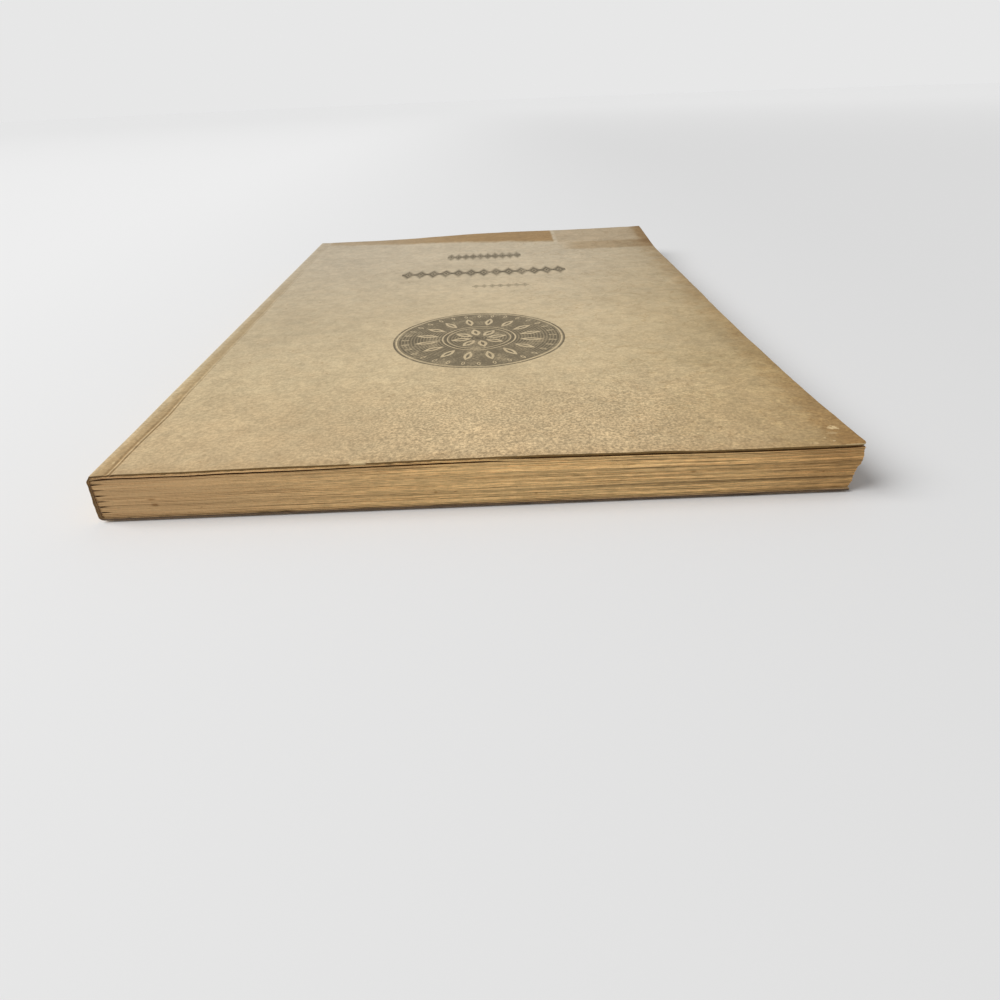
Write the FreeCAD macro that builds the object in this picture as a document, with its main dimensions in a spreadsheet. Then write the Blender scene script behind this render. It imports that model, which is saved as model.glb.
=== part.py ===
"""A sewn paperback book that lies closed on its back cover. Millimetres.

X runs from the spine to the fore-edge, Y from the tail to the head and Z up from the table.
The origin is under the middle of the book, on the table.
"""

import FreeCAD, Part
import math
import os
import Sketcher

os.makedirs("parts", exist_ok=True)
doc = FreeCAD.newDocument("paperback_book")

# Driving dimensions

SIZES = [
    # The pages: folded sections with rounded backs, one on the other
    ("page_length", 229.4),
    ("page_width", 150.15),
    ("section_thickness", 1.26),
    ("section_count", 7),
    # The wrapper: one sheet of light card, pasted round the back and on to each side as far as its creases
    ("card_thickness", 0.45),
    ("paste_thickness", 0.1),
    ("hinge_strip", 5.0),
    ("front_overhang", 0.8),
    ("back_overhang", 0.1),
    ("end_overhang", 0.3),
    # The sewing: stations along the back, and the thread in its saw cuts and folds
    ("station_count", 5),
    ("end_station_inset", 15.0),
    ("thread_diameter", 0.4),
    ("thread_clearance", 0.15),
    ("saw_cut_width", 1.0),
    # How the front cover stands up at its ends and corners, clear of the stretch beside its crease
    ("lift_start", 11.0),
    ("tail_wave", 0.8),
    ("tail_wave_reach", 60.0),
    ("head_rise", 1.7),
    ("head_rise_start", 26.0),
    ("head_rise_run", 60.0),
    ("head_rise_reach", 44.0),
    ("tail_curl", 1.0),
    ("head_curl", 0.4),
    ("curl_reach", 36.0),
    # The first leaves rise with the cover, this much less
    ("leaf_lag", 0.3),
]

sheet = doc.addObject("Spreadsheet::Sheet", "Sizes")
for row, (alias, value) in enumerate(SIZES, start=1):
    sheet.set(f"A{row}", alias)
    sheet.set(f"B{row}", str(value))
    sheet.setAlias(f"B{row}", alias)
doc.recompute()

# Places that several pieces share, written as expressions in the named sizes

FOLD_RADIUS = "(Sizes.section_thickness / 2)"
PAGES_BOTTOM = "(Sizes.card_thickness + Sizes.paste_thickness)"
PAGES_TOP = f"({PAGES_BOTTOM} + Sizes.section_count * Sizes.section_thickness)"
COVER_UNDERSIDE = f"({PAGES_TOP} + Sizes.paste_thickness)"
SPINE_TOP = f"({COVER_UNDERSIDE} + Sizes.card_thickness)"
BOOK_WIDTH = "(Sizes.card_thickness + Sizes.paste_thickness + Sizes.page_width + Sizes.front_overhang)"
BOOK_LENGTH = "(Sizes.page_length + 2 * Sizes.end_overhang)"
SPINE_FACE = f"(-{BOOK_WIDTH} / 2)"
CREASE = f"({SPINE_FACE} + Sizes.hinge_strip)"
FRONT_EDGE = f"({BOOK_WIDTH} / 2)"
PAGE_EDGE = f"({FRONT_EDGE} - Sizes.front_overhang)"
FOLD_TIP = f"({SPINE_FACE} + Sizes.card_thickness + Sizes.paste_thickness)"
FOLD_CENTRE = f"({FOLD_TIP} + {FOLD_RADIUS})"
SEWN_LENGTH = "(Sizes.page_length - 2 * Sizes.end_station_inset)"


def number(expression):
    """What an expression in the named sizes comes to."""
    return float(sheet.evalExpression(expression.replace("Sizes.", "")))


def bind(item, expressions):
    """Ties each property of an object to an expression in the named sizes."""
    for name, expression in expressions.items():
        item.setExpression(name, expression)
    return item


def set_down(item, corner):
    """Ties an object's place to three expressions."""
    names = ["Placement.Base.x", "Placement.Base.y", "Placement.Base.z"]
    return bind(item, dict(zip(names, corner)))


def block(name, size, corner):
    """A box of three sizes from its lowest corner."""
    item = doc.addObject("Part::Box", name)
    bind(item, dict(zip(["Length", "Width", "Height"], size)))
    return set_down(item, corner)


def rod(name, diameter, length, start, lies_along_y=False):
    """A round rod from its start, upright or lying along Y."""
    item = doc.addObject("Part::Cylinder", name)
    if lies_along_y:
        item.Placement.Rotation = FreeCAD.Rotation(FreeCAD.Vector(1, 0, 0), -90)
    bind(item, {"Radius": f"({diameter}) / 2", "Height": length})
    return set_down(item, start)


def fuse(name, items):
    """Objects joined as one."""
    item = doc.addObject("Part::MultiFuse", name)
    item.Shapes = items
    item.Refine = True
    return item


def cut(name, base, tool):
    """One object less another."""
    item = doc.addObject("Part::Cut", name)
    item.Base = base
    item.Tool = tool
    item.Refine = True
    return item


def end_view(body, name, corners):
    """A closed sketch of a piece as seen from its tail.

    Each corner is x, z and either None, for a straight stretch to the next corner,
    or the centre of a round stretch that goes clockwise to it.
    """
    sketch = body.newObject("Sketcher::SketchObject", name)
    plane = next(item for item in body.Origin.OriginFeatures if item.Role == "XZ_Plane")
    sketch.AttachmentSupport = (plane, [""])
    sketch.MapMode = "FlatFace"
    points = [FreeCAD.Vector(number(x), number(z), 0) for x, z, _ in corners]
    ends = []
    for k, (x, z, centre) in enumerate(corners):
        here, there = points[k], points[(k + 1) % len(points)]
        if centre is None:
            sketch.addGeometry(Part.LineSegment(here, there), False)
            ends.append((1, 2))
            continue
        middle = FreeCAD.Vector(number(centre[0]), number(centre[1]), 0)
        circle = Part.Circle(middle, FreeCAD.Vector(0, 0, 1), (here - middle).Length)
        angles = [math.atan2(p.y - middle.y, p.x - middle.x) for p in (there, here)]
        sketch.addGeometry(Part.ArcOfCircle(circle, *angles), False)
        ends.append((2, 1))
    for k, (x, z, centre) in enumerate(corners):
        after = (k + 1) % len(corners)
        sketch.addConstraint(Sketcher.Constraint("Coincident", k, ends[k][1], after, ends[after][0]))
        for kind, coordinate in (("DistanceX", x), ("DistanceY", z)):
            index = sketch.addConstraint(Sketcher.Constraint(kind, -1, 1, k, ends[k][0], number(coordinate)))
            sketch.setExpression(f"Constraints[{index}]", coordinate)
        if centre is not None:
            index = sketch.addConstraint(Sketcher.Constraint("DistanceX", -1, 1, k, 3, number(centre[0])))
            sketch.setExpression(f"Constraints[{index}]", centre[0])
    return sketch


def along_spine(body, name, kind, sketch, length):
    """A sketch made solid, or cut away, over a length centred on the book."""
    feature = body.newObject(kind, name)
    feature.Profile = sketch
    feature.SideType = "Symmetric"
    bind(feature, {"Length": length})
    sketch.Visibility = False
    return feature


def rounded_back(body, name, inset):
    """The book's outline about its spine, moved in by inset, with corners that follow the end folds."""
    radius = f"({FOLD_RADIUS} + Sizes.paste_thickness + Sizes.card_thickness - {inset})"
    face = f"({SPINE_FACE} + {inset})"
    top = f"({SPINE_TOP} - {inset})"
    low_centre = (f"({face} + {radius})", f"({inset} + {radius})")
    high_centre = (f"({face} + {radius})", f"({top} - {radius})")
    return end_view(
        body,
        name,
        [
            (CREASE, inset, None),
            (low_centre[0], inset, low_centre),
            (face, low_centre[1], None),
            (face, high_centre[1], high_centre),
            (high_centre[0], top, None),
            (CREASE, top, None),
        ],
    )


def folded_pages():
    """All the sections, each with its rounded fold, as one solid."""
    body = doc.addObject("PartDesign::Body", "folded_pages")
    corners = [(PAGE_EDGE, PAGES_BOTTOM, None)]
    for k in range(int(number("Sizes.section_count"))):
        bottom = f"({PAGES_BOTTOM} + {k} * Sizes.section_thickness)"
        corners.append((FOLD_CENTRE, bottom, (FOLD_CENTRE, f"({bottom} + {FOLD_RADIUS})")))
    corners.append((FOLD_CENTRE, PAGES_TOP, None))
    corners.append((PAGE_EDGE, PAGES_TOP, None))
    sketch = end_view(body, "sections_outline", corners)
    along_spine(body, "sections", "PartDesign::Pad", sketch, "Sizes.page_length")
    return body


def station(k):
    """The place along Y of one sewing station."""
    return f"({SEWN_LENGTH} * ({k} / (Sizes.station_count - 1) - 0.5))"


def fold_height(k):
    """The height of the middle of one section."""
    return f"({PAGES_BOTTOM} + ({k} + 0.5) * Sizes.section_thickness)"


def sewing(name, diameter, crossing):
    """A run in each fold from the first station to the last, and a crossing of the folds at each station."""
    pieces = []
    for k in range(int(number("Sizes.section_count"))):
        start = (FOLD_CENTRE, f"({station(0)} - {diameter} / 2)", fold_height(k))
        pieces.append(rod(f"{name}_run_{k}", diameter, f"({SEWN_LENGTH} + {diameter})", start, True))
    for k in range(int(number("Sizes.station_count"))):
        pieces.append(crossing(k))
    return fuse(name, pieces)


def thread():
    """The thread, as it lies in the folds and crosses from each section to the next."""
    climb = f"((Sizes.section_count - 1) * Sizes.section_thickness + Sizes.thread_diameter)"
    low = f"({fold_height(0)} - Sizes.thread_diameter / 2)"

    def link(k):
        return rod(f"link_{k}", "Sizes.thread_diameter", climb, (FOLD_CENTRE, station(k), low))

    return sewing("sewing_thread", "Sizes.thread_diameter", link)


def sewing_room():
    """The room that the thread lies in: a bore in each fold, and a saw cut across them at each station."""
    bore = "(Sizes.thread_diameter + 2 * Sizes.thread_clearance)"
    depth = f"({FOLD_RADIUS} + {bore} / 2)"

    def saw_cut(k):
        corner = (FOLD_TIP, f"({station(k)} - Sizes.saw_cut_width / 2)", PAGES_BOTTOM)
        climb = "(Sizes.section_count * Sizes.section_thickness)"
        return block(f"saw_cut_{k}", (depth, "Sizes.saw_cut_width", climb), corner)

    return sewing("sewing_room", bore, saw_cut)


def wrapper_back():
    """The wrapper's middle, round the spine and in to both creases."""
    body = doc.addObject("PartDesign::Body", "cover_spine")
    outside = rounded_back(body, "wrapper_outside", "0")
    along_spine(body, "wrapper_stock", "PartDesign::Pad", outside, BOOK_LENGTH)
    inside = rounded_back(body, "wrapper_inside", "Sizes.card_thickness")
    along_spine(body, "wrapper_hollow", "PartDesign::Pocket", inside, BOOK_LENGTH)
    return body


def paste(around):
    """The paste that fills the notches between the folds and holds the wrapper's back and strips."""
    body = doc.addObject("PartDesign::Body", "paste_stock")
    outline = rounded_back(body, "paste_outline", "Sizes.card_thickness")
    along_spine(body, "paste_fill", "PartDesign::Pad", outline, "Sizes.page_length")
    return cut("spine_glue", body, fuse("not_paste", around))


def ease(t):
    """0 to 1 with level ends."""
    t = min(max(t, 0.0), 1.0)
    return t * t * (3 - 2 * t)


def front_lift(x, y):
    """How far the front cover stands above where it would lie flat."""
    half_length = number(BOOK_LENGTH) / 2
    from_crease = x - number(CREASE)
    from_edge = number(FRONT_EDGE) - x
    from_tail = y + half_length
    from_head = half_length - y

    across = from_crease / (from_crease + from_edge)
    wave = number("Sizes.tail_wave") * math.sin(math.pi * across)
    wave *= ease(1 - from_tail / number("Sizes.tail_wave_reach"))

    rise = number("Sizes.head_rise")
    rise *= ease((from_crease - number("Sizes.head_rise_start")) / number("Sizes.head_rise_run"))
    rise *= ease(1 - from_head / number("Sizes.head_rise_reach"))

    curl = 0.0
    for height, from_end in (("Sizes.tail_curl", from_tail), ("Sizes.head_curl", from_head)):
        away = math.hypot(from_edge, from_end) / number("Sizes.curl_reach")
        curl += number(height) * max(0.0, 1 - away) ** 2

    free = ease(from_crease / number("Sizes.lift_start") - 1)
    return free * (wave + rise + curl)


# The curled surfaces: the degree of their curves, and how many stretches lie between the knots each way

DEGREE = 3
COUNT_ACROSS = 28
COUNT_ALONG = 24


def pole_places(low, high, spans):
    """Where the poles of an even spline stand for its points to be evenly spread from low to high."""
    knots = [0] * DEGREE + list(range(spans + 1)) + [spans] * DEGREE
    shares = [sum(knots[k + 1 : k + 1 + DEGREE]) / DEGREE / spans for k in range(spans + DEGREE)]
    return [low + (high - low) * share for share in shares]


def curled(name, height, drop):
    """A sheet over the front cover's rectangle that follows its lift, less drop, above a height."""
    half_length = number(BOOK_LENGTH) / 2
    across = pole_places(number(CREASE), number(FRONT_EDGE), COUNT_ACROSS)
    along = pole_places(-half_length, half_length, COUNT_ALONG)
    poles = [[FreeCAD.Vector(x, y, front_lift(x, y) - drop) for y in along] for x in across]
    counts = [[DEGREE + 1] + [1] * (spans - 1) + [DEGREE + 1] for spans in (COUNT_ACROSS, COUNT_ALONG)]
    knots = [[float(k) for k in range(spans + 1)] for spans in (COUNT_ACROSS, COUNT_ALONG)]
    surface = Part.BSplineSurface()
    surface.buildFromPolesMultsKnots(poles, *counts, *knots, False, False, DEGREE, DEGREE)
    item = doc.addObject("Part::Feature", name)
    item.Shape = surface.toShape()
    return set_down(item, ("0", "0", height))


def thicken(name, surface, upward, thickness):
    """A curled sheet given its thickness, upward or downward."""
    item = doc.addObject("Part::Extrusion", name)
    item.Base = surface
    item.DirMode = "Custom"
    item.Dir = FreeCAD.Vector(0, 0, 1 if upward else -1)
    item.Solid = True
    return bind(item, {"LengthFwd": thickness})


def raised_leaves():
    """The first leaves, which rise with the front cover at its ends and corners."""
    surface = curled("first_leaf", PAGES_TOP, number("Sizes.leaf_lag"))
    leaves = thicken("first_leaves", surface, False, "Sizes.section_thickness")
    reach = f"({PAGE_EDGE} - {CREASE})"
    rise = "(Sizes.section_thickness * Sizes.section_count)"
    corner = (CREASE, "(-Sizes.page_length / 2)", f"({PAGES_TOP} - {rise} / 2)")
    common = doc.addObject("Part::Common", "raised_leaves")
    common.Base = leaves
    common.Tool = block("leaf_outline", (reach, "Sizes.page_length", rise), corner)
    return common


def front_cover():
    """The wrapper's front, one curled sheet from its crease to the fore-edge."""
    return thicken("front_cover", curled("front_underside", COVER_UNDERSIDE, 0), True, "Sizes.card_thickness")


def back_cover():
    """The wrapper's back, one flat sheet from its crease to the fore-edge, on the table."""
    width = f"({PAGE_EDGE} + Sizes.back_overhang - {CREASE})"
    corner = (CREASE, f"(-{BOOK_LENGTH} / 2)", "0")
    return block("back_cover", (width, BOOK_LENGTH, "Sizes.card_thickness"), corner)


pages = fuse("pages", [folded_pages(), raised_leaves()])
room = sewing_room()
NODES = {
    "text_block": cut("text_block", pages, room),
    "sewing_thread": thread(),
    "spine_glue": paste([pages, room]),
    "cover_spine": wrapper_back(),
    "front_cover": front_cover(),
    "back_cover": back_cover(),
}
for label, item in NODES.items():
    item.Label = label
doc.recompute()

failed = [item.Name for item in doc.Objects if "Invalid" in item.State or "Error" in item.State]
if failed:
    raise RuntimeError(f"not built: {failed}")
for label, item in NODES.items():
    if item.Shape.isNull() or not item.Shape.isValid() or len(item.Shape.Solids) != 1:
        raise RuntimeError(f"{label} is not one sound solid")

for label, item in NODES.items():
    item.Shape.exportStep(f"parts/{label}.step")
    box = item.Shape.optimalBoundingBox(False)
    print(
        f"{label}: X {box.XMin:.3f} to {box.XMax:.3f}, Y {box.YMin:.3f} to {box.YMax:.3f}, "
        f"Z {box.ZMin:.3f} to {box.ZMax:.3f}, {item.Shape.Volume:.1f} mm3"
    )
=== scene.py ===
"""The looks of an old sewn paperback book, lying closed on a pale table.

Lengths here are millimetres in the frame of the CAD model, and become metres as each mesh is made.
X runs from the spine to the fore-edge, Y from the tail to the head and Z up from the table.
"""

import math
from functools import partial, reduce

import bpy
import numpy as np
from mathutils import Matrix, Vector


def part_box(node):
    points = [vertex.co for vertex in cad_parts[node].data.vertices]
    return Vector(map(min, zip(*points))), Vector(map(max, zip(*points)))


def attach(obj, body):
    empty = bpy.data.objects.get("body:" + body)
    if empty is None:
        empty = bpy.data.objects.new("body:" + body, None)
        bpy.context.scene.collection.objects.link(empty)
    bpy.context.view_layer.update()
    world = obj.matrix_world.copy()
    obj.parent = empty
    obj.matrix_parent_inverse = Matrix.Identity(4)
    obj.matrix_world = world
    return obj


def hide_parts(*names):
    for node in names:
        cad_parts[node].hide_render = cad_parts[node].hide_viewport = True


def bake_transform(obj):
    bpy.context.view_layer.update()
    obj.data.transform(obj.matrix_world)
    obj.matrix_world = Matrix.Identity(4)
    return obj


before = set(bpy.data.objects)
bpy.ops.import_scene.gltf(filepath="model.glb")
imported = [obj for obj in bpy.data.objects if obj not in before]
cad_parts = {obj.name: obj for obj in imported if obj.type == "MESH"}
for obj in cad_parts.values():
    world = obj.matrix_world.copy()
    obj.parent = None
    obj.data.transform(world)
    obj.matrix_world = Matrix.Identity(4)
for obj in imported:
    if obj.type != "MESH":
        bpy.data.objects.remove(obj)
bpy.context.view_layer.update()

MM = 0.001


def box_mm(node):
    """A CAD node's lowest and highest corners."""
    low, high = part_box(node)
    return np.array(low) / MM, np.array(high) / MM


# Places taken from the frame

spine_low, spine_high = box_mm("cover_spine")
pages_low, pages_high = box_mm("text_block")
front_high = box_mm("front_cover")[1]
back_high = box_mm("back_cover")[1]
CREASE = spine_high[0]
SPINE_FACE = spine_low[0]
SPINE_TOP = spine_high[2]
TAIL, HEAD = spine_low[1], spine_high[1]
FRONT_EDGE = front_high[0]
BACK_EDGE = back_high[0]
CARD = back_high[2]
COVER_UNDERSIDE = SPINE_TOP - CARD
PAGES_BOTTOM = pages_low[2]
PAGES_TOP = SPINE_TOP - PAGES_BOTTOM
PAGE_EDGE = pages_high[0]
FOLD_TIP = pages_low[0]
PAGE_TAIL, PAGE_HEAD = pages_low[1], pages_high[1]

# The pages: folded sections, one on the other

SECTIONS = 7
LEAVES_A_SECTION = 8
LEAVES = SECTIONS * LEAVES_A_SECTION
SECTION = (PAGES_TOP - PAGES_BOTTOM) / SECTIONS
LEAF = SECTION / LEAVES_A_SECTION
FOLD_RADIUS = SECTION / 2
FOLD_CENTRE = FOLD_TIP + FOLD_RADIUS
CORNER_RADIUS = FOLD_CENTRE - SPINE_FACE

# The front cover's lift, measured along its edges in the photograph

LIFT_START = 11.0
TAIL_WAVE, TAIL_WAVE_REACH = 0.8, 60.0
HEAD_RISE, HEAD_RISE_START, HEAD_RISE_RUN, HEAD_RISE_REACH = 1.7, 14.0, 74.0, 44.0
TAIL_CURL, HEAD_CURL, CURL_REACH = 0.5, 0.4, 36.0
SWELL = (
    (-75.2, 0.10), (-73.0, 0.42), (-71.0, 0.55), (-66.0, 0.45), (-61.0, 0.55), (-53.0, 0.34),
    (-43.0, 0.20), (-34.0, 0.08), (-10.0, 0.10), (3.0, 0.20), (14.0, 0.12), (34.0, 0.08), (50.0, 0.0),
)
SWELL_REACH = 30.0
CORNER_TURN, CORNER_TURN_REACH = 0.3, 5.0
LEAF_LAG = 0.3

# How far the fore-edge stands out, at places along it, and the leaves in it, at heights

FORE_EDGE = (
    (-115, 0.55), (-104, 0.55), (-92, 0.20), (-76, -0.40), (-55, -0.60), (-35, -0.65), (-14, -0.55),
    (3, -0.20), (23, -0.05), (46, 0.20), (63, 0.10), (76, 0.25), (93, 0.75), (104, 1.0), (115, 1.1),
)
FORE_EDGE_SOFTEN = 8.0
LEAF_EDGE = ((0.7, -1.5), (1.9, -1.0), (3.3, -1.0), (4.6, -0.70), (5.8, -0.2), (7.0, 0.0))

# How far the back of the spine stands out at its tail, at heights

SPINE_BOW = (
    (0, 0.05), (1.4, 0.15), (3.5, 0.12), (4.9, 0.0),
    (6.75, -0.12), (8.1, -0.15), (8.8, -0.28), (9.9, -0.40),
)
SPINE_BOW_REACH = 40.0

# The shape of the spine's two corners: 2 is a circle and more is squarer

UPPER_SQUARE, LOWER_SQUARE = 1.75, 2.6

# The camera, solved from the book's corners in the photograph

PHOTO_SIDE = 1000
FOCAL_PIXELS = 688.79
SENSOR = 36.0
CAMERA_PLACE = (4.45, -233.03, 72.45)
CAMERA_PITCH, CAMERA_YAW, CAMERA_ROLL = 31.143, 0.1199, -2.2914

# The stage: the table stands low enough for the back cover to lie on it when it is opened flat

TABLE_HEIGHT = -CARD - 0.01
TABLE_RADIUS = 4000.0
TABLE_TONE = 0.80
TABLE_LEFT, TABLE_RIGHT = 0.86, 0.71
TABLE_SLOPE = (-260.0, 200.0)
TABLE_FADE = (500.0, 2500.0)
TABLE_CORNERS = 96
SKY_LIGHT = 0.40
LAMP_LIGHT = 0.60
LAMP_DIRECTION = (0.72, 0.06, -0.70)
LAMP_ANGLE = 44.0


def ease(t):
    """0 to 1 with level ends."""
    t = np.clip(t, 0.0, 1.0)
    return t * t * (3 - 2 * t)


def hump(t):
    """1 at 0, falling smoothly to 0 at 1 on either side."""
    return ease(1 - np.abs(t))


def ripple(u, v, length, seed, count=20):
    """Smooth unevenness over a surface, mostly between -1 and 1, with a typical length."""
    random = np.random.default_rng(seed)
    total = 0
    for _ in range(count):
        turn = random.uniform(0, 2 * math.pi)
        rate = 2 * math.pi / length * random.uniform(0.5, 1.5)
        phase = random.uniform(0, 2 * math.pi)
        total = total + np.sin(rate * (math.cos(turn) * u + math.sin(turn) * v) + phase)
    return total / math.sqrt(count)


def ripples(places, rows, length, seed, count=7):
    """Smooth unevenness along a line, another for each row, mostly between -1 and 1."""
    random = np.random.default_rng(seed)
    rate = 2 * math.pi / length * random.uniform(0.3, 1.7, (rows, count, 1))
    phase = random.uniform(0, 2 * math.pi, (rows, count, 1))
    return np.sin(rate * places + phase).sum(1) / math.sqrt(count)


def follow(places, at, soften):
    """The value at a place between places with given values, with the bends softened."""
    where, values = np.array(places).T
    return sum(np.interp(at + soften * step, where, values) for step in (-1, -0.5, 0, 0.5, 1)) / 5


def lift(x, y):
    """How far the front cover stands above where it would lie flat."""
    from_crease, from_edge = x - CREASE, FRONT_EDGE - x
    across = np.clip(from_crease / (FRONT_EDGE - CREASE), 0, 1)
    wave = TAIL_WAVE * np.sin(math.pi * across) * ease(1 - (y - TAIL) / TAIL_WAVE_REACH)
    rise = HEAD_RISE * ease((from_crease - HEAD_RISE_START) / HEAD_RISE_RUN)
    rise = rise * ease(1 - (HEAD - y) / HEAD_RISE_REACH)
    curl = 0
    for height, from_end in ((TAIL_CURL, y - TAIL), (HEAD_CURL, HEAD - y)):
        curl = curl + height * np.maximum(0, 1 - np.hypot(from_edge, from_end) / CURL_REACH) ** 2
    swell = follow(SWELL, x, 2.5) * ease(1 - (y - TAIL) / SWELL_REACH)
    return ease(from_crease / LIFT_START - 1) * (wave + rise + curl) + swell


def spread(low, high, step, fine, extra=()):
    """Stations from low to high: a step apart, with fine ones near both ends and extra ones where asked."""
    near = low + np.array(fine)
    far = high - np.array(fine)
    count = max(2, int(round((far.min() - near.max()) / step)))
    return np.unique(np.concatenate([near, np.linspace(near.max(), far.min(), count + 1), far, extra]))


# The camera and the light


def set_camera():
    """The camera where the photograph was taken from."""
    pitch, yaw, roll = (math.radians(a) for a in (CAMERA_PITCH, CAMERA_YAW, CAMERA_ROLL))
    level = Vector((math.cos(yaw), -math.sin(yaw), 0))
    forward = Vector((math.sin(yaw) * math.cos(pitch), math.cos(yaw) * math.cos(pitch), -math.sin(pitch)))
    over = level.cross(forward)
    right = level * math.cos(roll) + over * math.sin(roll)
    up = over * math.cos(roll) - level * math.sin(roll)
    lens = bpy.data.cameras.new("camera")
    lens.sensor_width = SENSOR
    lens.lens = FOCAL_PIXELS / PHOTO_SIDE * SENSOR
    lens.clip_start = 0.01
    camera = bpy.data.objects.new("camera", lens)
    turn = Matrix((right, up, -forward)).transposed().to_4x4()
    camera.matrix_world = Matrix.Translation(Vector(CAMERA_PLACE) * MM) @ turn
    bpy.context.collection.objects.link(camera)
    bpy.context.scene.camera = camera


def set_light():
    """An even sky, which the camera sees in the table's far tone, and a soft lamp from the spine's side."""
    bpy.context.scene.view_settings.view_transform = "Standard"
    world = bpy.data.worlds.new("sky")
    world.use_nodes = True
    tree = world.node_tree
    light = tree.nodes["Background"]
    light.inputs["Strength"].default_value = SKY_LIGHT
    light.inputs["Color"].default_value = (1, 1, 1, 1)
    seen = tree.nodes.new("ShaderNodeBackground")
    seen.inputs["Color"].default_value = (TABLE_TONE, TABLE_TONE, TABLE_TONE, 1)
    path = tree.nodes.new("ShaderNodeLightPath")
    chosen = tree.nodes.new("ShaderNodeMixShader")
    tree.links.new(path.outputs["Is Camera Ray"], chosen.inputs[0])
    tree.links.new(light.outputs[0], chosen.inputs[1])
    tree.links.new(seen.outputs[0], chosen.inputs[2])
    tree.links.new(chosen.outputs[0], tree.nodes["World Output"].inputs["Surface"])
    bpy.context.scene.world = world

    direction = Vector(LAMP_DIRECTION).normalized()
    sun = bpy.data.lights.new("lamp", "SUN")
    sun.energy = LAMP_LIGHT * math.pi / -direction.z
    sun.angle = math.radians(LAMP_ANGLE)
    lamp = bpy.data.objects.new("lamp", sun)
    lamp.rotation_euler = direction.to_track_quat("-Z", "Y").to_euler()
    bpy.context.collection.objects.link(lamp)


set_camera()
set_light()


# Materials: the step from one noise to the next, and the colours in linear light

NOISE_SHIFT = (7.3, 3.1, 5.7)

# The card near the tail, and towards the head paler and greyer with a painted sheen
CARD_NEAR, CARD_FAR_SHEEN = (0.570, 0.462, 0.280), (0.520, 0.450, 0.328)
# Pale card where it is rubbed, also used for painted highlights
RUBBED_AND_LIT_CARD = (0.76, 0.58, 0.32)
INK = (0.125, 0.100, 0.062)
STRIP_BROWN, STRIP_PALE = (0.325, 0.212, 0.096), (0.405, 0.325, 0.215)
# The cut card, darker round the spine, and darker at the back cover's foot with dirt and painted contact
# shade
CUT_CARD, CUT_SPINE, CUT_DIRT_AND_SHADE = (0.190, 0.112, 0.038), (0.150, 0.086, 0.034), (0.125, 0.085, 0.058)
LEAVES_LEFT, LEAVES_RIGHT = (0.620, 0.402, 0.195), (0.815, 0.550, 0.250)
PAPER, PAPER_BROWNED = (0.700, 0.585, 0.400), (0.560, 0.410, 0.225)
GLUE_DARK, GLUE_LIGHT = (0.095, 0.046, 0.018), (0.270, 0.145, 0.058)
THREAD_DARK, THREAD_LIGHT = (0.430, 0.360, 0.240), (0.680, 0.610, 0.450)


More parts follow.
